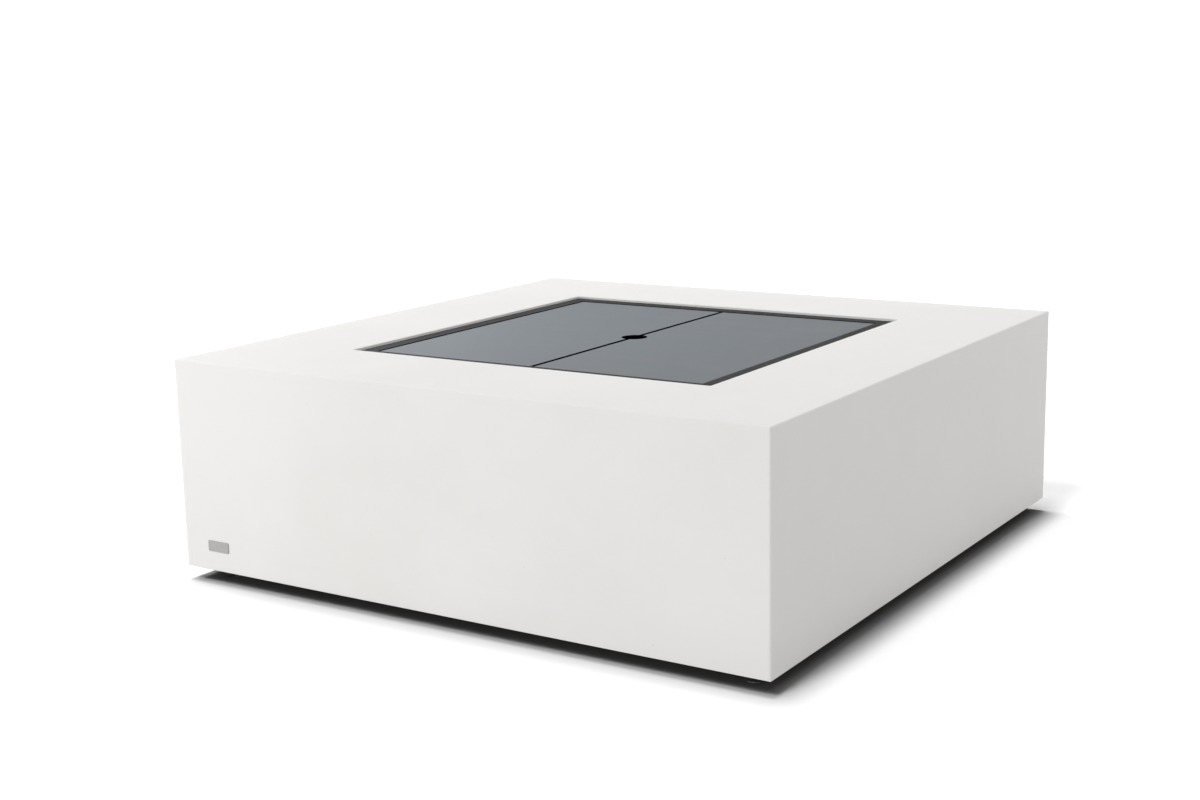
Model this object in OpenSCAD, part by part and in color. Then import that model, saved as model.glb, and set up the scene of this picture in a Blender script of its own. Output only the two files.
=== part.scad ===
// Low square fire pit table. A cast composite body carries a stepped steel tray on a
// seal, the tray carries a round liquid-fuel burner, and two lift-off cover plates
// close the tray flush with the table top. Millimetres, +Z up. The origin is on the
// floor under the middle of the body, and the badge is on the -Y side.

/* [Body] */
// Side of the square body
body_w = 1000; // [900:5:1200]
// Height of the cast body, without its feet
body_h = 320; // [260:5:420]
// Gap between the body and the floor
floor_gap = 22; // [12:1:30]
// Thickness of the side walls
wall_t = 20; // [14:1:28]
// Thickness of the top
top_t = 30; // [24:1:45]
// Radius of the upright corners
corner_r = 3; // [1:0.5:8]
// Radius of the level edges
edge_r = 2; // [1:0.5:6]
// Radius of the hollow's upright corners
hollow_r = 15; // [6:1:30]
// Width of the posts that stand in the hollow's corners
post_w = 55; // [45:1:80]
// Radius of each post's inner corner
post_r = 12; // [4:1:20]
// Width of the beam under the edge of the opening
rim_w = 40; // [25:1:60]
// Height of the beam under the edge of the opening
rim_h = 30; // [15:1:40]

/* [Opening] */
// Side of the square opening in the top
opening_w = 624; // [600:2:680]
// Width of the seat that the tray's flange lies on
seat_w = 22.5; // [20:0.5:32]
// Radius of the opening's upright corners
opening_r = 2; // [1:0.5:4]
// Radius of the opening's upper edge
arris_r = 1.5; // [0.5:0.5:1.5]
// How far the tray's flange lies below the top
flange_drop = 4; // [2:0.5:8]
// Width of the seal strip under the flange
seal_w = 14; // [8:1:16]
// Thickness of the seal strip
seal_t = 1.5; // [1:0.5:3]

/* [Tray] */
// Thickness of the tray's steel
tray_t = 2; // [1.5:0.5:3]
// Depth of the tray, from its flange to its floor
tray_depth = 75; // [65:1:90]
// Width of the ledge that the covers stand over
ledge_w = 29.5; // [20:0.5:36]
// Radius of the well's upright corners
well_r = 12; // [6:1:20]
// Diameter of the drain holes
drain_d = 10; // [6:1:14]
// Distance from a drain hole to the well's walls
drain_inset = 35; // [28:1:45]

/* [Covers] */
// Height of a cover plate, over its turned-down edges
cover_h = 16.5; // [12:0.5:24]
// Thickness of the cover's steel
cover_t = 2; // [1.5:0.5:3]
// How far the covers lie below the tray's flange
cover_drop = 1; // [0:0.25:3]
// Radius of the covers' bent edges
cover_r = 1; // [0.5:0.5:1.5]
// Radius of the covers' upright corners
cover_corner_r = 2; // [1:0.5:3]
// Gap between the two covers
seam_gap = 5; // [2:0.5:7]
// Diameter of the finger hole
finger_d = 40; // [30:1:60]
// Diameter of the pads under the covers
bumper_d = 12; // [8:1:14]
// Thickness of the pads under the covers
bumper_t = 2; // [1:0.5:4]

/* [Burner] */
// Diameter of the fuel tank
tank_d = 300; // [280:2:340]
// Width of the burner's flange round the tank
burner_flange_w = 20; // [16:1:30]
// Depth of the fuel tank under its flange
tank_depth = 90; // [80:1:100]
// Radius at the bottom of the fuel tank
tank_r = 15; // [6:1:25]
// Thickness of the burner's steel
burner_t = 2; // [1.5:0.5:3]
// Thickness of the gasket under the burner
gasket_t = 1.5; // [1:0.5:3]
// Diameter of the flame opening
flame_d = 200; // [180:2:210]
// Height of the collar round the flame opening
collar_h = 12; // [8:1:16]
// Radius of the collar's rolled lip
bead_r = 2.5; // [2:0.5:3]
// Width of the spill channel
channel_w = 20; // [14:1:24]
// Depth of the spill channel
channel_depth = 8; // [5:1:12]
// Thickness of the baffle
baffle_t = 1.5; // [1:0.5:2]
// Height of the baffle's top over the tank's floor
baffle_h = 62; // [50:1:64]
// Diameter of the baffle's holes
hole_d = 10; // [6:1:14]
// Rings of holes in the baffle
hole_rings = 4; // [2:1:4]
// Diameter of the burner's screws
burner_screw_d = 5; // [4:0.5:6]

/* [Snuffer] */
// Thickness of the snuffer's steel
lid_t = 2; // [1.5:0.5:3]
// Depth of the snuffer's turned-down edge
lid_rim_h = 9; // [6:1:11]
// Diameter of the snuffer's raised middle
lid_panel_d = 140; // [130:2:160]
// Height of the snuffer's raised middle
lid_panel_h = 3; // [2:0.5:5]
// Length of the handle over its feet
handle_l = 104; // [92:1:120]
// Height of the handle
handle_h = 20; // [16:1:22]
// Width of the handle's strap
handle_w = 18; // [14:1:26]
// Thickness of the handle's strap
handle_t = 3; // [2:0.5:4]
// Diameter of the handle's rivets
rivet_d = 5; // [4:0.5:6]

/* [Heat shield] */
// Side of the square heat shield
shield_w = 440; // [430:5:480]
// Height of the shield's turned-up edges
shield_h = 20; // [10:1:30]
// Thickness of the shield's steel
shield_t = 1.5; // [1:0.5:3]
// Length of the spacers that hold the shield
spacer_l = 110; // [104:1:130]
// Diameter of the spacers
spacer_d = 14; // [12:1:18]
// Diameter of the shield's screws
shield_screw_d = 6; // [5:0.5:8]

/* [Feet] */
// Distance from a foot's centre to the body's sides
foot_inset = 48.5; // [40:0.5:60]
// Diameter of a foot's pad
pad_d = 26; // [24:1:50]
// Radius at the bottom of a foot's pad
pad_r = 4; // [2:0.5:5]
// Diameter of the foot's threaded stud
stud_d = 8; // [6:1:10]
// Length of the stud above its head
stud_l = 34; // [28:1:44]
// Width of the stud's head across its flats
stud_head_w = 13; // [12:0.5:16]
// Height of the stud's head
stud_head_h = 5; // [3:0.5:7]
// Diameter of the insert cast into the body
insert_d = 14; // [13:1:18]
// Diameter of the insert's flange
insert_flange_d = 20; // [19:1:24]
// Thickness of the insert's flange
insert_flange_t = 2; // [1.5:0.5:3]

/* [Badge] */
// Width of the badge
badge_w = 41; // [25:0.5:60]
// Height of the badge
badge_h = 16.5; // [10:0.5:25]
// Thickness of the badge
badge_t = 1.2; // [0.6:0.2:2]
// Radius of the badge's corners
badge_r = 2; // [1:0.5:4]
// Distance from the badge to the body's left side
badge_side = 48; // [20:1:80]
// Distance from the badge to the body's lower edge
badge_up = 30.5; // [15:0.5:60]

/* [Fits] */
// Gap between the tray and the edges of its seat
tray_fit = 1.5; // [1:0.25:3]
// Gap between the covers and the tray's wall
cover_gap = 2; // [1:0.25:3]
// Gap between the tank and the hole in the tray's floor
tank_fit = 2; // [1:0.5:3]
// Gap between an insert and its pocket, on the radius
insert_fit = 0.1; // [0.05:0.05:0.2]
// Gap between a screw and its hole, on the radius
screw_fit = 0.3; // [0.2:0.1:0.5]
// Gap between a thread and its nut or insert, on the radius
thread_fit = 0.05; // [0.02:0.01:0.1]
// Gap between pieces that lift apart or stand against each other
rest_gap = 0.3; // [0.1:0.1:0.5]
// Gap between the snuffer's edge and the collar
lid_fit = 2; // [1:0.5:4]

/* [Hidden] */
$fn = 96;

// How far a cut runs past the face that it opens
overrun = 1;

// Body and opening
top_z = floor_gap + body_h;
slab_z = top_z - top_t;
hollow_w = body_w - 2 * wall_t;
through_w = opening_w - 2 * seat_w;
rim_low_z = slab_z - rim_h;
flange_z = top_z - flange_drop;
seal_z = flange_z - tray_t - seal_t;
seal_mid_w = (opening_w + through_w) / 2;

// Tray and covers
flange_w = opening_w - 2 * tray_fit;
pocket_w = through_w - 2 * (tray_fit + tray_t);
cover_w = pocket_w - 2 * cover_gap;
cover_half_w = (cover_w - seam_gap) / 2;
cover_top_z = flange_z - cover_drop;
cover_low_z = cover_top_z - cover_h;
ledge_z = cover_low_z - bumper_t;
well_w = pocket_w - 2 * ledge_w;
floor_z = flange_z - tray_depth;
floor_low_z = floor_z - tray_t;
bumper_place = cover_w / 2 - bumper_d / 2;
bumper_side_share = 0.33;
bumper_seam_share = 0.09;

// Burner
burner_d = tank_d + 2 * burner_flange_w;
tank_hole_d = tank_d + 2 * tank_fit;
flange_low_z = floor_z + gasket_t;
deck_z = flange_low_z + burner_t;
deck_top_z = deck_z + burner_t;
collar_top_z = deck_top_z + collar_h;
tank_low_z = flange_low_z - tank_depth;
tank_floor_z = tank_low_z + burner_t;
channel_mid_d = (flame_d + tank_d) / 2;
burner_screw_ring_d = (tank_hole_d + burner_d) / 2;
burner_screw_count = 6;
head_d_share = 1.8;
head_h_share = 0.55;
socket_w_share = 0.6;
nut_w_share = 1.6;
nut_h_share = 0.8;
screw_tail_share = 0.3;
baffle_leg_count = 3;
baffle_leg_w = 14;
baffle_gap = 3;
baffle_d = tank_d - 2 * (tank_r + baffle_gap);
baffle_rim_h = 8;
baffle_pitch = baffle_d / 2 / (hole_rings + 0.8);

// Snuffer
lid_z = collar_top_z + rest_gap;
lid_d = flame_d + 4 * bead_r + 2 * (lid_fit + lid_t);
panel_top_z = lid_z + lid_panel_h + lid_t;
handle_foot_l = 16;
handle_bend_r = 7;
rivet_place = handle_l / 2 - handle_foot_l / 2;
rivet_head_share = 1.8;
rivet_head_h_share = 0.4;

// Heat shield
shield_top_z = floor_low_z - spacer_l;
shield_low_z = shield_top_z - shield_t;
shield_r = 10;
spacer_place_share = 0.42;
spacer_place = spacer_place_share * shield_w;

// Feet
foot_place = body_w / 2 - foot_inset;
pad_top_z = floor_gap - rest_gap;
stud_head_z = pad_top_z - stud_head_h;
stud_tip_h = 1.5;
stud_end_gap = 2;
insert_end_t = 2;
insert_l = stud_l + stud_end_gap + insert_end_t;
insert_groove_share = [0.3, 0.6];
insert_groove_h = 2;
insert_groove_depth = 1;

// The four feet, as the sides of the body that they stand at
FRONT_LEFT = [-1, -1];
FRONT_RIGHT = [1, -1];
BACK_LEFT = [-1, 1];
BACK_RIGHT = [1, 1];
CORNERS = [FRONT_LEFT, FRONT_RIGHT, BACK_LEFT, BACK_RIGHT];

// Rectangle with round corners, in the middle of its plane
module round_rect(x, y, r) {
    square([x - 2 * r, y], center = true);
    square([x, y - 2 * r], center = true);
    for (c = CORNERS)
        translate([c.x * (x / 2 - r), c.y * (y / 2 - r)])
            circle(r = r);
}

// Upright block with round upright corners, standing on z
module round_block(w, z, h, r) {
    translate([0, 0, z])
        linear_extrude(h)
            round_rect(w, w, r);
}

// Block with round upright corners and round level edges, standing on the plane z = 0
module soft_block(x, y, h, plan_r, side_r) {
    intersection() {
        linear_extrude(h)
            round_rect(x, y, plan_r);
        translate([0, y / 2, h / 2])
            rotate([90, 0, 0])
                linear_extrude(y)
                    round_rect(x, h, side_r);
        translate([-x / 2, 0, h / 2])
            rotate([90, 0, 90])
                linear_extrude(x)
                    round_rect(y, h, side_r);
    }
}

// Half outline of an upright pot that is round at its lower edge, for a revolve
module pot_outline(r, h, round_r) {
    square([r - round_r, h]);
    translate([0, round_r])
        square([r, h - round_r]);
    translate([r - round_r, round_r])
        circle(r = round_r);
}

// Upright hexagon, measured across its flats
module hexagon(w, h) {
    cylinder(d = w / cos(30), h = h, $fn = 6);
}

// Socket-head screw: its head stands on z = 0 and its shank hangs below
module screw(d, l) {
    head_h = head_h_share * d;
    difference() {
        union() {
            translate([0, 0, -l])
                cylinder(d = d, h = l + head_h / 2);
            cylinder(d = head_d_share * d, h = head_h);
        }
        translate([0, 0, head_h / 2])
            hexagon(socket_w_share * d, head_h);
    }
}

// Hexagon nut whose upper face is on z = 0
module nut(d) {
    difference() {
        translate([0, 0, -nut_h_share * d])
            hexagon(nut_w_share * d, nut_h_share * d);
        translate([0, 0, -nut_h_share * d - overrun])
            cylinder(d = d + 2 * thread_fit, h = nut_h_share * d + 2 * overrun);
    }
}

// Round hole, or a stack of them, for a screw of this diameter
module screw_hole(d, low_z, high_z) {
    translate([0, 0, low_z - overrun])
        cylinder(d = d + 2 * screw_fit, h = high_z - low_z + 2 * overrun);
}

// Copies its children round the burner's flange
module at_burner_screws() {
    for (i = [0 : burner_screw_count - 1])
        rotate([0, 0, (i + 0.5) * 360 / burner_screw_count])
            translate([burner_screw_ring_d / 2, 0, 0])
                children();
}

// Copies its children to four places, this far from the middle along X and along Y
module at_corners(place) {
    for (c = CORNERS)
        translate([c.x * place, c.y * place, 0])
            children();
}

// Body

// Cast body: walls, top, corner posts and the beam round the opening
module body_shell() {
    color("#e9e7e5")
        difference() {
            translate([0, 0, floor_gap])
                soft_block(body_w, body_w, body_h, corner_r, edge_r);
            body_hollow();
            round_block(opening_w, seal_z, top_z - seal_z + overrun, opening_r);
            opening_arris();
            round_block(through_w, rim_low_z - overrun, rim_h + top_t + overrun, opening_r);
            at_corners(foot_place)
                insert_pocket();
        }
}

// The hollow under the top, around the posts and the beam
module body_hollow() {
    post_mid = (hollow_w + wall_t - post_w) / 2;
    difference() {
        round_block(hollow_w, floor_gap - overrun, body_h - top_t + overrun, hollow_r);
        at_corners(post_mid)
            round_block(post_w + wall_t, floor_gap - 2 * overrun, body_h, post_r);
        round_block(through_w + 2 * rim_w, rim_low_z, rim_h + overrun, post_r);
    }
}

// Cut that rounds the opening's upper edge, along its sides and round its corners
module opening_arris() {
    for (turn = [0 : 3])
        rotate([0, 0, turn * 90])
            translate([0, -opening_w / 2, top_z])
                rotate([90, 0, 90])
                    linear_extrude(opening_w - 2 * opening_r, center = true)
                        arris_outline();
    at_corners(opening_w / 2 - opening_r)
        translate([0, 0, top_z])
            rotate_extrude()
                translate([opening_r, 0])
                    mirror([1, 0])
                        arris_outline();
}

// What is cut from a square edge at the origin, whose solid is on its left and below
module arris_outline() {
    difference() {
        translate([-arris_r, -arris_r])
            square(arris_r + overrun);
        translate([-arris_r, -arris_r])
            circle(r = arris_r);
    }
}

// Pocket in the body for one threaded insert
module insert_pocket() {
    translate([0, 0, floor_gap - overrun])
        cylinder(d = insert_d + 2 * insert_fit, h = insert_l + rest_gap + overrun);
    translate([0, 0, floor_gap - overrun])
        cylinder(d = insert_flange_d + 2 * insert_fit, h = insert_flange_t + overrun);
}

// Blank name plate on the front wall
module name_badge() {
    color("#b4b3b0")
        translate([
            -body_w / 2 + badge_side + badge_w / 2,
            -body_w / 2,
            floor_gap + badge_up + badge_h / 2
        ])
            rotate([90, 0, 0])
                linear_extrude(badge_t)
                    round_rect(badge_w, badge_h, badge_r);
}

// Tray and covers

// Seal strip between the seat and the tray's flange
module tray_seal() {
    color("#1c1c1d")
        difference() {
            round_block(seal_mid_w + seal_w, seal_z, seal_t, opening_r);
            round_block(seal_mid_w - seal_w, seal_z - overrun, seal_t + 2 * overrun, opening_r);
        }
}

// Stepped tray: flange, pocket for the covers, ledge, and the well round the burner
module burner_tray() {
    color("#3a3a3b")
        difference() {
            union() {
                round_block(flange_w, flange_z - tray_t, tray_t, opening_r);
                round_block(pocket_w + 2 * tray_t, ledge_z - tray_t,
                    flange_z - ledge_z + tray_t, opening_r + tray_t);
                round_block(well_w + 2 * tray_t, floor_low_z, ledge_z - floor_low_z, well_r + tray_t);
            }
            round_block(pocket_w, ledge_z, flange_z - ledge_z + overrun, opening_r);
            round_block(well_w, floor_z, flange_z - floor_z, well_r);
            translate([0, 0, floor_low_z - overrun])
                cylinder(d = tank_hole_d, h = tray_t + 2 * overrun);
            at_burner_screws()
                screw_hole(burner_screw_d, floor_low_z, floor_z);
            at_corners(spacer_place)
                screw_hole(shield_screw_d, floor_low_z, floor_z);
            at_corners(well_w / 2 - drain_inset)
                translate([0, 0, floor_low_z - overrun])
                    cylinder(d = drain_d, h = tray_t + 2 * overrun);
        }
}

// Outer form of one cover, on the side given as -1 for left or 1 for right
module cover_blank(side) {
    translate([side * (seam_gap + cover_half_w) / 2, 0, 0])
        difference() {
            translate([0, 0, cover_low_z - 2 * cover_r])
                soft_block(cover_half_w, cover_w, cover_h + 2 * cover_r, cover_corner_r, cover_r);
            round_block(body_w, cover_low_z - body_h, body_h, corner_r);
        }
}

// Folded cover plate with turned-down edges and half of the finger hole
module cover(side) {
    inner_h = cover_h - cover_t;
    color("#7d8386")
        difference() {
            cover_blank(side);
            difference() {
                translate([side * (seam_gap + cover_half_w) / 2, 0, cover_low_z - overrun])
                    linear_extrude(inner_h + overrun)
                        round_rect(cover_half_w - 2 * cover_t, cover_w - 2 * cover_t, cover_corner_r);
                translate([0, 0, cover_low_z - 2 * overrun])
                    cylinder(d = finger_d + 2 * cover_t, h = cover_h);
            }
            translate([0, 0, cover_low_z - overrun])
                cylinder(d = finger_d, h = cover_h + 2 * overrun);
        }
}

module cover_left() {
    cover(-1);
}

module cover_right() {
    cover(1);
}

// Soft pads on the ledge, four under each cover
module cover_bumpers() {
    color("#242424")
        for (c = CORNERS) {
            bumper(c.x * bumper_place, c.y * bumper_side_share * cover_w);
            bumper(c.x * bumper_seam_share * cover_w, c.y * bumper_place);
        }
}

module bumper(x, y) {
    translate([x, y, ledge_z])
        cylinder(d = bumper_d, h = bumper_t);
}

// Burner

// Flat ring between the tray's floor and the tank's flange
module burner_gasket() {
    color("#55524e")
        difference() {
            translate([0, 0, floor_z])
                cylinder(d = burner_d, h = gasket_t);
            translate([0, 0, floor_z - overrun])
                cylinder(d = tank_hole_d, h = gasket_t + 2 * overrun);
            at_burner_screws()
                screw_hole(burner_screw_d, floor_z, flange_low_z);
        }
}

// Drawn fuel tank with a round lower edge and a flat flange
module burner_tank() {
    color("#9b9b99")
        difference() {
            union() {
                translate([0, 0, tank_low_z])
                    rotate_extrude()
                        pot_outline(tank_d / 2, tank_depth + burner_t, tank_r);
                translate([0, 0, flange_low_z])
                    cylinder(d = burner_d, h = burner_t);
            }
            translate([0, 0, tank_floor_z])
                rotate_extrude()
                    pot_outline(tank_d / 2 - burner_t, tank_depth + overrun, tank_r - burner_t);
            at_burner_screws()
                screw_hole(burner_screw_d, flange_low_z, deck_z);
        }
}

// Spun deck: rim, spill channel, and the collar of the flame opening with its rolled lip
module burner_deck() {
    color("#8f8f8d")
        difference() {
            rotate_extrude()
                deck_outline();
            at_burner_screws()
                screw_hole(burner_screw_d, deck_z, deck_top_z);
        }
}

module deck_outline() {
    flame_r = flame_d / 2;
    channel_in = channel_mid_d / 2 - channel_w / 2;
    channel_out = channel_in + channel_w;
    translate([channel_out - burner_t, deck_z])
        square([burner_d / 2 - channel_out + burner_t, burner_t]);
    translate([flame_r, deck_z])
        square([channel_in - flame_r + burner_t, burner_t]);
    translate([channel_in, deck_z - channel_depth])
        square([channel_w, burner_t]);
    for (r = [channel_in, channel_out - burner_t])
        translate([r, deck_z - channel_depth])
            square([burner_t, channel_depth + burner_t]);
    translate([flame_r, deck_z])
        square([burner_t, burner_t + collar_h - bead_r]);
    translate([flame_r + bead_r, collar_top_z - bead_r])
        circle(r = bead_r);
}

// Perforated plate that stills the fuel, standing in the tank on bent-down legs
module burner_baffle() {
    color("#83837f")
        translate([0, 0, tank_floor_z])
            difference() {
                union() {
                    translate([0, 0, baffle_h - baffle_t])
                        cylinder(d = baffle_d, h = baffle_t);
                    baffle_wall(baffle_h - baffle_rim_h, baffle_rim_h);
                    intersection() {
                        baffle_wall(0, baffle_h);
                        baffle_leg_bars();
                    }
                }
                translate([0, 0, baffle_h - baffle_t - overrun])
                    baffle_holes(baffle_t + 2 * overrun);
            }
}

module baffle_wall(z, h) {
    translate([0, 0, z])
        difference() {
            cylinder(d = baffle_d, h = h);
            translate([0, 0, -overrun])
                cylinder(d = baffle_d - 2 * baffle_t, h = h + 2 * overrun);
        }
}

module baffle_leg_bars() {
    for (i = [0 : baffle_leg_count - 1])
        rotate([0, 0, i * 360 / baffle_leg_count])
            translate([0, -baffle_leg_w / 2, 0])
                cube([baffle_d, baffle_leg_w, baffle_h]);
}

module baffle_holes(h) {
    cylinder(d = hole_d, h = h);
    for (ring = [1 : hole_rings], i = [0 : 6 * ring - 1])
        rotate([0, 0, i * 60 / ring])
            translate([ring * baffle_pitch, 0, 0])
                cylinder(d = hole_d, h = h);
}

module burner_screws() {
    color("#a8a8a6")
        at_burner_screws()
            translate([0, 0, deck_top_z])
                screw(burner_screw_d, deck_top_z - floor_low_z
                    + (nut_h_share + screw_tail_share) * burner_screw_d);
}

module burner_nuts() {
    color("#9c9c99")
        at_burner_screws()
            translate([0, 0, floor_low_z])
                nut(burner_screw_d);
}

// Snuffer

// Lid with a turned-down edge and a raised middle, which puts out the flame
module snuffer_lid() {
    color("#2f2f30")
        difference() {
            rotate_extrude()
                lid_outline();
            at_rivets()
                screw_hole(rivet_d, lid_z, panel_top_z);
        }
}

module lid_outline() {
    panel_r = lid_panel_d / 2;
    translate([0, lid_z + lid_panel_h])
        square([panel_r, lid_t]);
    translate([panel_r - lid_t, lid_z])
        square([lid_t, lid_panel_h + lid_t]);
    translate([panel_r - lid_t, lid_z])
        square([lid_d / 2 - panel_r + lid_t, lid_t]);
    translate([lid_d / 2 - lid_t, lid_z - lid_rim_h])
        square([lid_t, lid_rim_h + lid_t]);
}

// Strap handle, bent up from two feet
module snuffer_handle() {
    color("#8d8d8b")
        difference() {
            translate([0, handle_w / 2, panel_top_z])
                rotate([90, 0, 0])
                    linear_extrude(handle_w)
                        handle_outline();
            at_rivets()
                screw_hole(rivet_d, panel_top_z, panel_top_z + handle_t);
        }
}

module handle_outline() {
    span = handle_l - 2 * handle_foot_l;
    difference() {
        round_rect(span, 2 * handle_h, handle_bend_r);
        round_rect(span - 2 * handle_t, 2 * (handle_h - handle_t), handle_bend_r - handle_t);
        translate([-handle_l / 2, -2 * handle_h])
            square([handle_l, 2 * handle_h]);
    }
    for (low_x = [-handle_l / 2, span / 2 - handle_t])
        translate([low_x, 0])
            square([handle_foot_l + handle_t, handle_t]);
}

module snuffer_rivets() {
    head_h = rivet_head_h_share * rivet_d;
    grip = lid_t + handle_t;
    color("#b0b0ae")
        at_rivets()
            translate([0, 0, panel_top_z - lid_t]) {
                cylinder(d = rivet_d, h = grip);
                for (z = [-head_h, grip])
                    translate([0, 0, z])
                        cylinder(d = rivet_head_share * rivet_d, h = head_h);
            }
}

module at_rivets() {
    for (side = [-1, 1])
        translate([side * rivet_place, 0, 0])
            children();
}

// Heat shield

// Shallow pan that keeps the burner's heat off the floor
module heat_shield() {
    color("#b9b9b6")
        difference() {
            round_block(shield_w, shield_low_z, shield_h, shield_r);
            round_block(shield_w - 2 * shield_t, shield_top_z, shield_h, shield_r - shield_t);
            at_corners(spacer_place)
                screw_hole(shield_screw_d, shield_low_z, shield_top_z);
        }
}

module shield_spacers() {
    color("#c0c0bd")
        at_corners(spacer_place)
            difference() {
                translate([0, 0, shield_top_z])
                    cylinder(d = spacer_d, h = spacer_l);
                screw_hole(shield_screw_d, shield_top_z, floor_low_z);
            }
}

module shield_screws() {
    color("#a8a8a6")
        at_corners(spacer_place)
            translate([0, 0, floor_z])
                screw(shield_screw_d, floor_z - shield_low_z
                    + (nut_h_share + screw_tail_share) * shield_screw_d);
}

module shield_nuts() {
    color("#9c9c99")
        at_corners(spacer_place)
            translate([0, 0, shield_low_z])
                nut(shield_screw_d);
}

// Feet

// Threaded inserts, cast into the corner posts
module foot_inserts() {
    color("#b08d4a")
        at_corners(foot_place)
            translate([0, 0, floor_gap])
                difference() {
                    union() {
                        cylinder(d = insert_d, h = insert_l);
                        cylinder(d = insert_flange_d, h = insert_flange_t);
                    }
                    translate([0, 0, -overrun])
                        cylinder(d = stud_d + 2 * thread_fit, h = insert_l - insert_end_t + overrun);
                    for (share = insert_groove_share)
                        translate([0, 0, share * insert_l])
                            insert_groove();
                }
}

module insert_groove() {
    difference() {
        cylinder(d = insert_d + overrun, h = insert_groove_h);
        cylinder(d = insert_d - 2 * insert_groove_depth, h = insert_groove_h);
    }
}

// Threaded stud of one levelling foot, with its hexagon head inside the pad
module foot_stud(corner) {
    color("#a5a5a3")
        translate([corner.x * foot_place, corner.y * foot_place, stud_head_z]) {
            hexagon(stud_head_w, stud_head_h);
            cylinder(d = stud_d, h = stud_head_h + stud_l - stud_tip_h);
            translate([0, 0, stud_head_h + stud_l - stud_tip_h])
                cylinder(d1 = stud_d, d2 = stud_d - 2 * stud_tip_h, h = stud_tip_h);
        }
}

// Pad of one levelling foot, moulded round the stud's head
module foot_pad(corner) {
    color("#1b1b1b")
        translate([corner.x * foot_place, corner.y * foot_place, 0])
            difference() {
                rotate_extrude()
                    pot_outline(pad_d / 2, pad_top_z, pad_r);
                translate([0, 0, stud_head_z])
                    hexagon(stud_head_w + 2 * thread_fit, stud_head_h + overrun);
            }
}

module foot_stud_front_left() {
    foot_stud(FRONT_LEFT);
}

module foot_stud_front_right() {
    foot_stud(FRONT_RIGHT);
}

module foot_stud_back_left() {
    foot_stud(BACK_LEFT);
}

module foot_stud_back_right() {
    foot_stud(BACK_RIGHT);
}

module foot_pad_front_left() {
    foot_pad(FRONT_LEFT);
}

module foot_pad_front_right() {
    foot_pad(FRONT_RIGHT);
}

module foot_pad_back_left() {
    foot_pad(BACK_LEFT);
}

module foot_pad_back_right() {
    foot_pad(BACK_RIGHT);
}

body_shell();
name_badge();
tray_seal();
burner_tray();
cover_left();
cover_right();
cover_bumpers();
burner_gasket();
burner_tank();
burner_deck();
burner_baffle();
burner_screws();
burner_nuts();
snuffer_lid();
snuffer_handle();
snuffer_rivets();
heat_shield();
shield_spacers();
shield_screws();
shield_nuts();
foot_inserts();
foot_stud_front_left();
foot_stud_front_right();
foot_stud_back_left();
foot_stud_back_right();
foot_pad_front_left();
foot_pad_front_right();
foot_pad_back_left();
foot_pad_back_right();
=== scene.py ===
"""The looks of the fire pit table: its finishes, the small turned pieces, and the studio round it.

Lengths are in metres in the CAD frame: the origin is on the floor under the middle of the table,
+Z is up, and the plate with the blank badge faces -Y.
"""

import math

import bmesh
import bpy
from mathutils import Matrix, Vector


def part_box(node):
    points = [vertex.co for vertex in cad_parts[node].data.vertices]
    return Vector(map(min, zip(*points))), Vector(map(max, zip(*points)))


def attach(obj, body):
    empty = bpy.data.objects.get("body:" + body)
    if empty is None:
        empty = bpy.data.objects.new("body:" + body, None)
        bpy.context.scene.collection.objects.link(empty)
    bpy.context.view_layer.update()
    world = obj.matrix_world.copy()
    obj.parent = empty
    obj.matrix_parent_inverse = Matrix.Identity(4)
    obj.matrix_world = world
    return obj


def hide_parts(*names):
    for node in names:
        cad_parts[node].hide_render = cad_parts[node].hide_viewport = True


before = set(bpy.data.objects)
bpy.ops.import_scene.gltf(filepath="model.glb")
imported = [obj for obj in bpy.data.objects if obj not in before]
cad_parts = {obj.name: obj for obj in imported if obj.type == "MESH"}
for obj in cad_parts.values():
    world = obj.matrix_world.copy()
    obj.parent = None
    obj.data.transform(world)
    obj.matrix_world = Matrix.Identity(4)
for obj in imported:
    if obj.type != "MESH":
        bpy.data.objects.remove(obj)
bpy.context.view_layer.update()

MM = 0.001

# The camera, solved from the corners of the body in the photograph
SENSOR_W = 36
LENS = 52.077
CAMERA_PLACE = (1.42782, -2.29387, 0.79213)
CAMERA_TURN = math.radians(33.093)
CAMERA_DOWN = math.radians(11.615)
CAMERA_ROLL = math.radians(-1.179)

# Lamps for the table: name, place, point aimed at, width, height, power in watts. The floor doesn't
# stop the one that lights the underside.
LAMPS = [
    ("key", (-2.4, -2.4, 0.55), (0, 0, 0.1), 1.6, 0.9, 30),
    ("front", (0.4, -3.4, 0.55), (0, 0, 0.1), 2.4, 0.9, 16),
    ("overhead", (-0.6, 0.2, 3.0), (0, 0, 0.3), 2.4, 2.4, 18),
    ("left", (-3.0, 0.6, 1.8), (0, 0, 0.3), 1.6, 1.6, 29),
    ("right_back", (2.4, 2.6, 1.4), (0.4, 0.4, 0.2), 1.6, 1.4, 12),
    ("back", (-0.6, 3.2, 2.2), (0, 0, 0.3), 2.4, 1.4, 6),
    ("under", (0, 0, -1.2), (0, 0, 0.3), 0.9, 0.9, 10),
]

# Strength of the sky that lights the table, and of the sky that is seen
SKY_LEVEL = 0.6
SKY_SEEN = 1.1

# A lamp close by on the left, for the covers and the tray alone: place, point aimed at, side, power in
# watts
COVER_LAMP = ((-1.05, -0.25, 0.95), (0, 0, 0.34), 0.3, 16)

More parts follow.
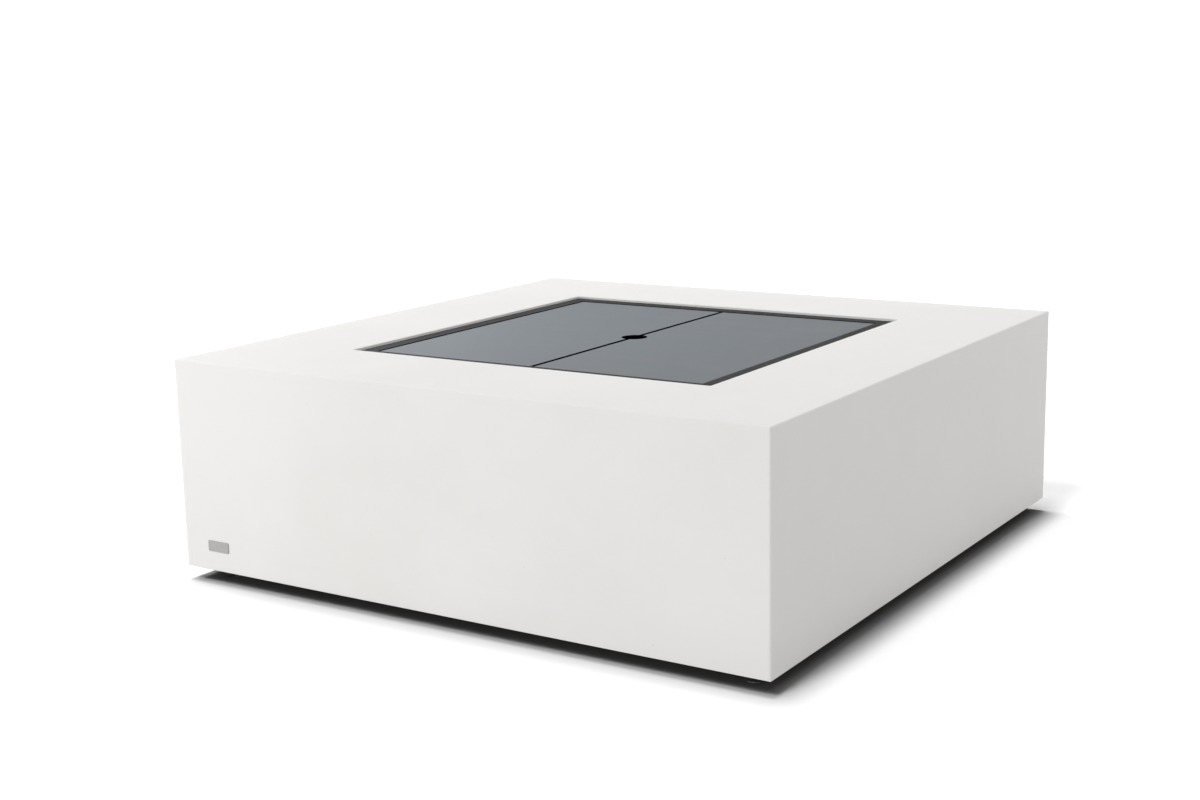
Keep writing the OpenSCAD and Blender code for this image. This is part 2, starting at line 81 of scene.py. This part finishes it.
# Soft suns that light the floor alone: the way to each, its width in degrees, its strength. They lift
# the floor's dark grey to white, and the table's shadow stays as close and as dark as in the
# photograph.
FLOOR_SUNS = [
    ((-0.075, 0.07, 1), 8.6, 16.4),
    ((-0.075, -0.05, 1), 8.6, 13.4),
    ((-0.075, -0.2, 1), 8.6, 7.4),
    ((-0.12, -0.6, 1), 8.6, 6),
    ((-0.06, -0.6, 1), 8.6, 8.8),
    ((-0.03, -0.85, 1), 8.6, 6.2),
    ((-0.6, 0.07, 1), 8.6, 10),
    ((0, -0.2, 1), 84, 9.8),
    ((0.3, -2.2, 1), 33, 1.2),
]

# The floor's grey where it is seen, its grey for the light that it sends back up, and its side
FLOOR_SEEN = 0.05
FLOOR_BOUNCE = 0.0255
FLOOR_SIDE = 60

CORNERS = ("front_left", "front_right", "back_left", "back_right")


def srgb(red, green, blue):
    """A screen colour, 0 to 255 each, as the linear colour that a shader takes."""
    linear = []
    for value in (red / 255, green / 255, blue / 255):
        linear.append(value / 12.92 if value <= 0.04045 else ((value + 0.055) / 1.055) ** 2.4)
    return (*linear, 1)


class Finish:
    """A procedural material: a Principled shader and the nodes that feed it.

    Textures are laid out in the CAD frame.
    """

    def __init__(self, name, constants):
        self.material = bpy.data.materials.new(name)
        self.material.use_nodes = True
        self.tree = self.material.node_tree
        self.shader = self.tree.nodes["Principled BSDF"]
        for socket, value in constants.items():
            self.shader.inputs[socket].default_value = value
        self.place = self.node("TexCoord").outputs["Object"]

    def node(self, kind, **settings):
        made = self.tree.nodes.new("ShaderNode" + kind)
        for name, value in settings.items():
            setattr(made, name, value)
        return made

    def feed(self, socket, value):
        """Links a node's output to a socket, or writes a plain value there."""
        if isinstance(value, bpy.types.NodeSocket):
            self.tree.links.new(value, socket)
        else:
            socket.default_value = value

    def calc(self, operation, *values):
        made = self.node("Math", operation=operation)
        for socket, value in zip(made.inputs, values):
            self.feed(socket, value)
        return made.outputs[0]

    def scaled(self, x, y, z):
        """The place with each axis multiplied, which stretches a texture along the small factors."""
        made = self.node("VectorMath", operation="MULTIPLY")
        self.feed(made.inputs[0], self.place)
        made.inputs[1].default_value = (x, y, z)
        return made.outputs[0]

    def axis(self, index):
        made = self.node("SeparateXYZ")
        self.feed(made.inputs[0], self.place)
        return made.outputs[index]

    def radius(self):
        """Distance from the upright middle line of the table."""
        made = self.node("VectorMath", operation="LENGTH")
        self.feed(made.inputs[0], self.scaled(1, 1, 0))
        return made.outputs["Value"]

    def noise(self, scale, detail=2, rough=0.5, at=None):
        made = self.node("TexNoise")
        self.feed(made.inputs["Vector"], at or self.place)
        made.inputs["Scale"].default_value = scale
        made.inputs["Detail"].default_value = detail
        made.inputs["Roughness"].default_value = rough
        return made.outputs["Fac"]

    def cells(self, scale, output="Distance"):
        """Distance to the nearest of some scattered points, in cells, or that cell's own colour."""
        made = self.node("TexVoronoi")
        self.feed(made.inputs["Vector"], self.place)
        made.inputs["Scale"].default_value = scale
        return made.outputs[output]

    def fade(self, value, low, high, at_low=0.0, at_high=1.0):
        """Turns value from low to high into at_low to at_high, smoothly, and holds the ends."""
        made = self.node("MapRange", interpolation_type="SMOOTHSTEP")
        self.feed(made.inputs["Value"], value)
        made.inputs["From Min"].default_value = low
        made.inputs["From Max"].default_value = high
        made.inputs["To Min"].default_value = at_low
        made.inputs["To Max"].default_value = at_high
        return made.outputs["Result"]

    def mix(self, share, first, second):
        """The first colour where share is 0, and the second where it is 1."""
        made = self.node("Mix", data_type="RGBA")
        self.feed(made.inputs["Factor"], share)
        self.feed(made.inputs[6], first)
        self.feed(made.inputs[7], second)
        return made.outputs[2]

    def bump(self, height, depth, under=None):
        """Relief of this depth in metres, over what is under it."""
        made = self.node("Bump")
        self.feed(made.inputs["Height"], height)
        made.inputs["Distance"].default_value = depth
        if under is not None:
            self.feed(made.inputs["Normal"], under)
        return made.outputs["Normal"]

    def set(self, socket, value):
        self.feed(self.shader.inputs[socket], value)

    def on(self, *names):
        """Gives this finish to CAD nodes or pieces."""
        for name in names:
            mesh = bpy.data.objects[name].data
            mesh.materials.clear()
            mesh.materials.append(self.material)


# Finishes

# Distance from the middle and height within which the faces of the body are those of its hollow
HOLLOW_HALF = 0.4815
HOLLOW_TOP = 0.3135

# Distance from the middle line and from the hole's middle within which the covers carry painted shade,
# near-black
SEAM_SHADE = 4 * MM
HOLE_SHADE = 20.4 * MM


def cast_composite():
    """Smooth off-white casting, with a raw face and glass fibres inside the hollow."""
    f = Finish("cast_composite", {"Specular IOR Level": 0.4})
    clouds = f.noise(3.2, detail=5, rough=0.6)
    wiped = f.noise(1, detail=4, rough=0.55, at=f.scaled(2.4, 2.4, 9))
    grain = f.noise(900, detail=1)
    face = f.mix(f.fade(clouds, 0.32, 0.68), srgb(229, 227, 224), srgb(235, 233, 231))
    face = f.mix(f.fade(wiped, 0.55, 0.8, 0, 0.35), face, srgb(225, 223, 221))
    face = f.mix(f.fade(grain, 0.3, 0.7, 0, 0.5), face, srgb(236, 235, 233))
    # Scattered pinholes: the bump below sinks them, and their pits are painted darker, which is painted
    # shade
    pore_pits_and_shade = f.fade(f.cells(42), 0.012, 0.026, 1, 0)
    few = f.calc("GREATER_THAN", f.cells(42, "Color"), 0.72)
    pore_pits_and_shade = f.calc("MULTIPLY", pore_pits_and_shade, few)
    face = f.mix(pore_pits_and_shade, face, srgb(176, 172, 168))

    side = f.calc("MAXIMUM", f.calc("ABSOLUTE", f.axis(0)), f.calc("ABSOLUTE", f.axis(1)))
    under_top = f.calc("LESS_THAN", f.axis(2), HOLLOW_TOP)
    inside = f.calc("MULTIPLY", f.calc("LESS_THAN", side, HOLLOW_HALF), under_top)
    strands = f.noise(1, detail=1, at=f.scaled(40, 420, 420))
    across = f.noise(1, detail=1, at=f.scaled(420, 36, 300))
    strands = f.fade(f.calc("MAXIMUM", strands, across), 0.62, 0.7)
    patches = f.fade(f.noise(26, detail=5, rough=0.65), 0.35, 0.65)
    raw = f.mix(patches, srgb(196, 192, 186), srgb(219, 216, 211))
    raw = f.mix(f.calc("MULTIPLY", strands, 0.4), raw, srgb(232, 231, 226))
    f.set("Base Color", f.mix(inside, face, raw))
    rougher = f.calc("MULTIPLY", inside, 0.3)
    f.set("Roughness", f.calc("ADD", f.fade(clouds, 0.3, 0.7, 0.5, 0.6), rougher))

    lumps = f.calc("ADD", f.noise(90, detail=4, rough=0.6), f.calc("MULTIPLY", strands, 0.3))
    relief = f.bump(f.calc("MULTIPLY", lumps, inside), 2.5 * MM)
    relief = f.bump(f.noise(14, detail=2), 0.25 * MM, relief)
    relief = f.bump(grain, 0.05 * MM, relief)
    f.set("Normal", f.bump(f.calc("SUBTRACT", 1, pore_pits_and_shade), 0.4 * MM, relief))
    return f


def cover_coating():
    """Satin slate-blue coating, streaked along the plates, with painted shade, near-black, in the seam
    and the hole.
    """
    f = Finish("cover_coating", {})
    clouds = f.noise(7, detail=5, rough=0.6)
    streaks = f.noise(1, detail=4, rough=0.6, at=f.scaled(5, 26, 26))
    both = f.calc("ADD", f.calc("MULTIPLY", clouds, 0.6), f.calc("MULTIPLY", streaks, 0.4))
    coat = f.mix(f.fade(both, 0.36, 0.64), srgb(65, 71, 76), srgb(72, 79, 84))
    speck = f.noise(2400, detail=1)
    coat = f.mix(f.fade(speck, 0.35, 0.7, 0, 0.2), coat, srgb(96, 103, 109))
    # Painted shade: the seam between the covers and the finger hole are painted near-black, duller and
    # with less shine, where the slot and the hole lie in shadow
    seam = f.calc("LESS_THAN", f.calc("ABSOLUTE", f.axis(0)), SEAM_SHADE)
    hole = f.calc("LESS_THAN", f.radius(), HOLE_SHADE)
    black = f.calc("MAXIMUM", seam, hole)
    f.set("Base Color", f.mix(black, coat, srgb(9, 9, 10)))
    f.set("Specular IOR Level", f.calc("MULTIPLY", f.calc("SUBTRACT", 1, black), 0.5))
    rougher = f.calc("MULTIPLY", black, 0.4)
    f.set("Roughness", f.calc("ADD", f.fade(both, 0.36, 0.64, 0.58, 0.66), rougher))
    relief = f.bump(f.noise(1300, detail=2), 0.03 * MM)
    f.set("Normal", f.bump(f.noise(40, detail=2), 0.02 * MM, relief))
    return f


def tray_coating():
    """Black textured powder coating."""
    f = Finish("tray_coating", {"Specular IOR Level": 0.08})
    patches = f.noise(9, detail=4)
    f.set("Base Color", f.mix(f.fade(patches, 0.35, 0.65), srgb(31, 31, 32), srgb(38, 38, 39)))
    f.set("Roughness", f.fade(f.noise(300, detail=2), 0.3, 0.7, 0.64, 0.76))
    f.set("Normal", f.bump(f.noise(800, detail=3, rough=0.6), 0.12 * MM))
    return f


def seal_rubber():
    """Dull black rubber."""
    f = Finish("seal_rubber", {"Specular IOR Level": 0.3})
    f.set("Base Color", f.mix(f.noise(160, detail=3), srgb(22, 22, 23), srgb(34, 34, 34)))
    f.set("Roughness", f.fade(f.noise(90), 0.3, 0.7, 0.7, 0.85))
    f.set("Normal", f.bump(f.noise(1500, detail=2), 0.05 * MM))
    return f


def badge_metal():
    """Steel plate, brushed along its length."""
    f = Finish("badge_metal", {"Metallic": 1.0, "Anisotropic": 0.4})
    brush = f.noise(1, detail=3, rough=0.7, at=f.scaled(60, 60, 5000))
    f.set("Base Color", f.mix(f.fade(brush, 0.3, 0.7), srgb(148, 147, 145), srgb(168, 167, 165)))
    f.set("Roughness", f.fade(brush, 0.3, 0.7, 0.34, 0.5))
    f.set("Normal", f.bump(brush, 0.02 * MM))
    return f


def gasket_fibre():
    """Grey woven heat-proof fibre."""
    f = Finish("gasket_fibre", {"Specular IOR Level": 0.2, "Sheen Weight": 0.2})
    warp = f.calc("SINE", f.calc("MULTIPLY", f.axis(0), 3600))
    weft = f.calc("SINE", f.calc("MULTIPLY", f.axis(1), 3600))
    weave = f.calc("MULTIPLY", warp, weft)
    f.set("Base Color", f.mix(f.fade(weave, -1, 1), srgb(84, 81, 77), srgb(112, 108, 103)))
    f.set("Roughness", f.fade(f.noise(400), 0.3, 0.7, 0.85, 0.95))
    f.set("Normal", f.bump(weave, 0.1 * MM))
    return f


def burner_steel():
    """Spun stainless steel, with turning marks, and tinted by heat round the flame opening."""
    f = Finish("burner_steel", {"Metallic": 1.0, "Anisotropic": 0.3})
    radius = f.radius()
    rings = f.node("CombineXYZ")
    f.feed(rings.inputs[0], f.calc("MULTIPLY", radius, 2600))
    f.feed(rings.inputs[1], f.calc("MULTIPLY", f.axis(2), 1400))
    marks = f.noise(1, detail=3, rough=0.65, at=rings.outputs[0])
    smears = f.noise(24, detail=4)
    steel = f.mix(f.fade(marks, 0.3, 0.7), srgb(158, 157, 154), srgb(188, 187, 184))
    steel = f.mix(f.fade(smears, 0.5, 0.75, 0, 0.4), steel, srgb(150, 148, 144))
    near = f.fade(f.calc("ADD", radius, f.calc("MULTIPLY", smears, 0.02)), 0.112, 0.135, 1, 0)
    straw = f.mix(f.calc("MULTIPLY", near, 0.5), steel, srgb(196, 160, 104))
    hot = f.fade(f.calc("ADD", radius, f.calc("MULTIPLY", smears, 0.014)), 0.106, 0.116, 1, 0)
    f.set("Base Color", f.mix(f.calc("MULTIPLY", hot, 0.55), straw, srgb(104, 104, 138)))
    f.set("Roughness", f.fade(marks, 0.3, 0.7, 0.26, 0.4))
    f.set("Normal", f.bump(marks, 0.02 * MM))
    return f


def sheet_steel(name, dark, light):
    """Bare sheet steel with rolling marks along X."""
    f = Finish(name, {"Metallic": 1.0})
    rolled = f.noise(1, detail=3, rough=0.6, at=f.scaled(16, 900, 900))
    smears = f.noise(30, detail=5, rough=0.65)
    steel = f.mix(f.fade(rolled, 0.3, 0.7), dark, light)
    f.set("Base Color", f.mix(f.fade(smears, 0.45, 0.8, 0, 0.3), steel, dark))
    f.set("Roughness", f.fade(smears, 0.3, 0.7, 0.36, 0.42))
    f.set("Normal", f.bump(rolled, 0.02 * MM))
    return f


def insert_brass():
    """Turned brass."""
    f = Finish("insert_brass", {"Metallic": 1.0})
    turned_marks = f.noise(1, detail=2, at=f.scaled(200, 200, 3000))
    f.set("Base Color", f.mix(f.fade(turned_marks, 0.3, 0.7), srgb(176, 140, 74), srgb(208, 172, 104)))
    f.set("Roughness", f.fade(f.noise(120), 0.3, 0.7, 0.28, 0.42))
    f.set("Normal", f.bump(turned_marks, 0.02 * MM))
    return f


def foot_plastic():
    """Black moulded plastic with a fine spark-eroded grain."""
    f = Finish("foot_plastic", {"Specular IOR Level": 0.3})
    f.set("Base Color", f.mix(f.noise(200, detail=2), srgb(6, 6, 7), srgb(11, 11, 12)))
    f.set("Roughness", f.fade(f.noise(600), 0.3, 0.7, 0.5, 0.66))
    f.set("Normal", f.bump(f.noise(2200, detail=2), 0.05 * MM))
    return f


# Small turned pieces

# Sizes that the solids' boxes don't give. A share is a share of the thread's diameter, apart from the
# thread's own depth, which is a share of its pitch.
BURNER_SCREW_D = 5 * MM
BURNER_PITCH = 0.8 * MM
BURNER_THREAD = 9 * MM
SHIELD_SCREW_D = 6 * MM
SHIELD_PITCH = 1 * MM
SHIELD_THREAD = 22 * MM
HEAD_H_SHARE = 0.55
SOCKET_SHARE = 0.6
CHAMFER_SHARE = 0.1
KNURL_SHARE = 0.02
KNURLS = 24
NUT_GAP = 0.05 * MM
NUT_LEAD_SHARE = 0.12
STUD_D = 8 * MM
STUD_HEAD_H = 5 * MM
STUD_PITCH = 1.25 * MM
STUD_TIP = 1.2 * MM
RIVET_D = 5 * MM
RIVET_HEAD_SHARE = 0.4
DOME_STEPS = 8
THREAD_STEPS = 6
THREAD_DEPTH_SHARE = 0.54


def solids(node):
    """The box of each separate solid of a CAD node: [(lowest corner, highest corner)]."""
    bm = bmesh.new()
    bm.from_mesh(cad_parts[node].data)
    bmesh.ops.remove_doubles(bm, verts=bm.verts, dist=0.001 * MM)
    left = set(bm.verts)
    boxes = []
    while left:
        heap = [left.pop()]
        low, high = heap[0].co.copy(), heap[0].co.copy()
        while heap:
            vert = heap.pop()
            low = Vector(map(min, low, vert.co))
            high = Vector(map(max, high, vert.co))
            for edge in vert.link_edges:
                other = edge.other_vert(vert)
                if other in left:
                    left.remove(other)
                    heap.append(other)
        boxes.append((low, high))
    bm.free()
    return sorted(boxes, key=lambda box: tuple(box[0]))


def middles(boxes, z):
    """The point at height z on the upright middle line of each box."""
    return [Vector(((low.x + high.x) / 2, (low.y + high.y) / 2, z)) for low, high in boxes]


def hexagon(across, angle):
    """Distance from a hexagon's middle to its side, at an angle."""
    return across / 2 / math.cos((angle + math.pi / 6) % (math.pi / 3) - math.pi / 6)


def turned(name, rows, places, steps=48, ring=False, sharp=30):
    """Pieces turned about an upright line through each place, in one mesh.

    rows run from the lower middle to the upper middle, or once round the section of a ring. A row is a
    function of the angle that gives (radius, height), or that pair itself. Edges that turn by more
    than sharp degrees stay hard.
    """
    angles = [2 * math.pi * i / steps for i in range(steps)]
    bm = bmesh.new()
    for place in places:
        loops = []
        for row in rows:
            points = [row(a) if callable(row) else row for a in angles]
            if max(r for r, _ in points) == 0:
                loops.append([bm.verts.new(place + Vector((0, 0, points[0][1])))] * steps)
                continue
            loops.append([
                bm.verts.new(place + Vector((r * math.cos(a), r * math.sin(a), z)))
                for a, (r, z) in zip(angles, points)
            ])
        pairs = list(zip(loops, loops[1:] + loops[:1]))
        if not ring:
            pairs.pop()
        for lower, upper in pairs:
            for i in range(steps):
                j = (i + 1) % steps
                corners = dict.fromkeys((lower[i], lower[j], upper[j], upper[i]))
                if len(corners) > 2:
                    bm.faces.new(corners)
    bmesh.ops.recalc_face_normals(bm, faces=bm.faces)
    for face in bm.faces:
        face.smooth = True
    for edge in bm.edges:
        edge.smooth = edge.calc_face_angle(0) < math.radians(sharp)
    mesh = bpy.data.meshes.new(name)
    bm.to_mesh(mesh)
    bm.free()
    piece = bpy.data.objects.new(name, mesh)
    bpy.context.scene.collection.objects.link(piece)
    return piece


def thread_rows(radius, pitch, low, high, share=1):
    """Rows of a screw thread from low to high or from high to low, sunk by this share of its depth."""
    turns = abs(high - low) / pitch
    count = max(2, round(turns * THREAD_STEPS))
    depth = share * THREAD_DEPTH_SHARE * pitch
    rows = []
    for i in range(count + 1):
        z = low + (high - low) * i / count
        ends = min(1, 2 * min(i, count - i) / THREAD_STEPS)

        def row(angle, z=z, ends=ends):
            wave = (z / pitch + angle / (2 * math.pi)) % 1
            return radius - ends * depth * (1 - abs(2 * wave - 1)), z

        rows.append(row)
    return rows


def cap_screws(name, node, d, pitch, threaded):
    """Socket-head screws in the places of a CAD node's solids.

    d is the diameter of the shank, and threaded the length of the thread.
    """
    boxes = solids(node)
    low, high = boxes[0]
    head_r = (high.x - low.x) / 2
    head_h = HEAD_H_SHARE * d
    length = high.z - low.z - head_h
    socket = SOCKET_SHARE * d
    chamfer = CHAMFER_SHARE * d
    knurl = KNURL_SHARE * d
    threaded = min(threaded, length - 2 * chamfer)

    def grip(height, depth):
        return lambda a: (head_r - depth * (0.5 - 0.5 * math.cos(KNURLS * a)), height)

    rows = [(0, -length), (d / 2 - chamfer, -length), (d / 2, chamfer - length)]
    rows += thread_rows(d / 2, pitch, chamfer - length, chamfer - length + threaded)
    rows += [(d / 2, 0), (head_r - chamfer / 2, 0), (head_r, chamfer / 2)]
    rows += [grip(chamfer, 0), grip(1.5 * chamfer, knurl), grip(head_h - 2 * chamfer, knurl)]
    rows += [grip(head_h - 1.5 * chamfer, 0), (head_r, head_h - chamfer), (head_r - chamfer, head_h)]
    rows += [(1.25 * socket / 2, head_h), lambda a: (hexagon(socket, a), head_h - 0.4 * chamfer)]
    rows += [lambda a: (hexagon(socket, a), head_h / 2), (0, head_h / 2 - chamfer)]
    return turned(name, rows, middles(boxes, high.z - head_h), steps=4 * KNURLS)


def hex_nuts(name, node, d, pitch):
    """Hexagon nuts with chamfered corners, in the places of a CAD node's solids."""
    boxes = solids(node)
    low, high = boxes[0]
    across = high.y - low.y
    height = high.z - low.z
    face_r = 0.95 * across / 2
    bore_r = d / 2 + NUT_GAP
    slope = math.tan(math.radians(30))

    def corner(upper):
        def row(a):
            r = hexagon(across, a)
            drop = (r - face_r) * slope
            return r, height - drop if upper else drop

        return row

    lead = NUT_LEAD_SHARE * d
    rows = [(bore_r + lead, 0), (face_r, 0), corner(False)]
    rows += [corner(True), (face_r, height), (bore_r + lead, height)]
    rows += thread_rows(bore_r, pitch, height - lead, lead, share=0.35)
    return turned(name, rows, middles(boxes, low.z), steps=72, ring=True)


def level_stud(name, node):
    """The threaded stud of one foot, with its hexagon head."""
    low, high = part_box(node)
    across = min(high.x - low.x, high.y - low.y)
    length = high.z - low.z
    r = STUD_D / 2
    rows = [(0, 0), lambda a: (hexagon(across, a), 0)]
    rows += [lambda a: (hexagon(across, a), STUD_HEAD_H), (r, STUD_HEAD_H)]
    rows += thread_rows(r, STUD_PITCH, STUD_HEAD_H, length - STUD_TIP)
    rows += [(r, length - STUD_TIP), (r - STUD_TIP, length), (0, length)]
    return turned(name, rows, middles([(low, high)], low.z), steps=36)


def domed_rivets(name, node, d):
    """Rivets with a domed head above and a flat one below."""
    boxes = solids(node)
    low, high = boxes[0]
    head_r = (high.x - low.x) / 2
    height = high.z - low.z
    head_h = RIVET_HEAD_SHARE * d
    edge = 0.15 * head_h
    rows = [(0, 0), (head_r - edge, 0), (head_r, edge), (head_r, head_h)]
    rows += [(d / 2, head_h), (d / 2, height - head_h), (head_r, height - head_h)]
    for i in range(1, DOME_STEPS):
        turn = i * math.pi / 2 / DOME_STEPS
        rows.append((head_r * math.cos(turn), height - head_h + head_h * math.sin(turn)))
    rows.append((0, height))
    return turned(name, rows, middles(boxes, low.z))


def stand_in(piece, node, body):
    """The piece takes a CAD node's place."""
    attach(piece, body)
    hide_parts(node)
    return piece


def make_pieces():
    stand_in(
        cap_screws("burner_cap_screws", "burner_screws", BURNER_SCREW_D, BURNER_PITCH, BURNER_THREAD),
        "burner_screws", "table",
    )
    stand_in(
        cap_screws("shield_cap_screws", "shield_screws", SHIELD_SCREW_D, SHIELD_PITCH, SHIELD_THREAD),
        "shield_screws", "table",
    )
    stand_in(
        hex_nuts("burner_hex_nuts", "burner_nuts", BURNER_SCREW_D, BURNER_PITCH),
        "burner_nuts", "table",
    )
    stand_in(
        hex_nuts("shield_hex_nuts", "shield_nuts", SHIELD_SCREW_D, SHIELD_PITCH),
        "shield_nuts", "table",
    )
    stand_in(
        domed_rivets("handle_rivets", "snuffer_rivets", RIVET_D),
        "snuffer_rivets", "snuffer",
    )
    for corner in CORNERS:
        node = "foot_stud_" + corner
        stand_in(level_stud("level_stud_" + corner, node), node, "foot_" + corner)


def finish_all():
    cast_composite().on("body_shell")
    badge_metal().on("name_badge")
    seal_rubber().on("tray_seal", "cover_bumpers")
    tray_coating().on("burner_tray", "snuffer_lid")
    cover_coating().on("cover_left", "cover_right")
    gasket_fibre().on("burner_gasket")
    burner_steel().on("burner_tank", "burner_deck", "burner_baffle", "snuffer_handle")
    shield_steel = sheet_steel("shield_steel", srgb(168, 168, 166), srgb(196, 196, 194))
    shield_steel.on("heat_shield", "shield_spacers")
    fastener_steel = sheet_steel("fastener_steel", srgb(150, 150, 148), srgb(186, 186, 184))
    fastener_steel.on(
        "burner_screws", "burner_nuts", "snuffer_rivets", "shield_screws", "shield_nuts",
        "burner_cap_screws", "burner_hex_nuts", "handle_rivets", "shield_cap_screws", "shield_hex_nuts",
        *("foot_stud_" + corner for corner in CORNERS), *("level_stud_" + corner for corner in CORNERS),
    )
    insert_brass().on("foot_inserts")
    foot_plastic().on(*("foot_pad_" + corner for corner in CORNERS))


# Studio

def seen_rays(tree):
    """1 for rays from the camera and for those that metal or glass sends on, else 0."""
    path = tree.nodes.new("ShaderNodeLightPath")
    seen = path.outputs["Is Camera Ray"]
    for name in ("Is Glossy Ray", "Is Transmission Ray"):
        either = tree.nodes.new("ShaderNodeMath")
        either.operation = "MAXIMUM"
        tree.links.new(seen, either.inputs[0])
        tree.links.new(path.outputs[name], either.inputs[1])
        seen = either.outputs[0]
    return seen


def make_sky():
    """A sky that is white to look at, and lights the table at its own level."""
    world = bpy.data.worlds.new("studio")
    bpy.context.scene.world = world
    world.use_nodes = True
    tree = world.node_tree
    white = tree.nodes["Background"]
    white.inputs["Color"].default_value = (1, 1, 1, 1)
    white.inputs["Strength"].default_value = SKY_SEEN
    light = tree.nodes.new("ShaderNodeBackground")
    light.inputs["Color"].default_value = (1, 1, 1, 1)
    light.inputs["Strength"].default_value = SKY_LEVEL
    either = tree.nodes.new("ShaderNodeMixShader")
    tree.links.new(seen_rays(tree), either.inputs[0])
    tree.links.new(light.outputs[0], either.inputs[1])
    tree.links.new(white.outputs[0], either.inputs[2])
    tree.links.new(either.outputs[0], tree.nodes["World Output"].inputs["Surface"])


def make_floor():
    """A plain floor that keeps the table's shadow.

    It has one grey for what is seen and one for what it sends back up, and from below it is clear, so
    that the table's underside shows.
    """
    bpy.ops.mesh.primitive_plane_add(size=FLOOR_SIDE)
    floor = bpy.context.object
    floor.name = "floor"
    material = bpy.data.materials.new("floor")
    material.use_nodes = True
    tree = material.node_tree
    tree.nodes.clear()
    either = tree.nodes.new("ShaderNodeMixShader")
    tree.links.new(seen_rays(tree), either.inputs[0])
    for socket, grey in ((1, FLOOR_BOUNCE), (2, FLOOR_SEEN)):
        matt = tree.nodes.new("ShaderNodeBsdfDiffuse")
        matt.inputs["Color"].default_value = (grey, grey, grey, 1)
        tree.links.new(matt.outputs[0], either.inputs[socket])
    below = tree.nodes.new("ShaderNodeMixShader")
    tree.links.new(tree.nodes.new("ShaderNodeNewGeometry").outputs["Backfacing"], below.inputs[0])
    tree.links.new(either.outputs[0], below.inputs[1])
    tree.links.new(tree.nodes.new("ShaderNodeBsdfTransparent").outputs[0], below.inputs[2])
    output = tree.nodes.new("ShaderNodeOutputMaterial")
    tree.links.new(below.outputs[0], output.inputs["Surface"])
    floor.data.materials.append(material)
    return floor


def add_lamp(name, kind, strength, turn, receivers, **settings):
    """A lamp that has its back to the way of turn and lights its receivers alone."""
    data = bpy.data.lights.new(name, kind)
    data.energy = strength
    for key, value in settings.items():
        setattr(data, key, value)
    lamp = bpy.data.objects.new(name, data)
    bpy.context.scene.collection.objects.link(lamp)
    lamp.rotation_euler = turn.to_track_quat("Z", "Y").to_euler()
    lamp.light_linking.receiver_collection = receivers
    lamp.visible_camera = False
    return lamp


def lit_group(name, state, *members):
    """What a lamp lights: these objects alone, or everything but them."""
    group = bpy.data.collections.new(name)
    for member in members:
        group.objects.link(member)
    for linked in group.collection_objects:
        linked.light_linking.link_state = state
    return group


def make_lamps(floor):
    table = lit_group("all_but_floor", "EXCLUDE", floor)
    for name, place, aim, width, height, power in LAMPS:
        turn = Vector(place) - Vector(aim)
        lamp = add_lamp(name, "AREA", power, turn, table, shape="RECTANGLE", size=width, size_y=height)
        lamp.light_linking.blocker_collection = table
        lamp.location = place
    place, aim, side, power = COVER_LAMP
    inlay = (bpy.data.objects[name] for name in ("cover_left", "cover_right", "burner_tray"))
    inlay_alone = lit_group("inlay_alone", "INCLUDE", *inlay)
    turn = Vector(place) - Vector(aim)
    lamp = add_lamp("cover_lamp", "AREA", power, turn, inlay_alone, shape="SQUARE", size=side)
    lamp.location = place
    alone = lit_group("floor_alone", "INCLUDE", floor)
    for i, (turn, width, strength) in enumerate(FLOOR_SUNS, 1):
        add_lamp(f"floor_sun_{i}", "SUN", strength, Vector(turn), alone, angle=math.radians(width))


def make_camera():
    data = bpy.data.cameras.new("camera")
    data.sensor_width = SENSOR_W
    data.sensor_fit = "HORIZONTAL"
    data.lens = LENS
    camera = bpy.data.objects.new("camera", data)
    bpy.context.scene.collection.objects.link(camera)
    camera.matrix_world = (
        Matrix.Translation(CAMERA_PLACE)
        @ Matrix.Rotation(CAMERA_TURN, 4, "Z")
        @ Matrix.Rotation(math.pi / 2 - CAMERA_DOWN, 4, "X")
        @ Matrix.Rotation(CAMERA_ROLL, 4, "Z")
    )
    bpy.context.scene.camera = camera


make_camera()
make_pieces()
finish_all()
make_sky()
make_lamps(make_floor())
bpy.context.scene.view_settings.view_transform = "Standard"
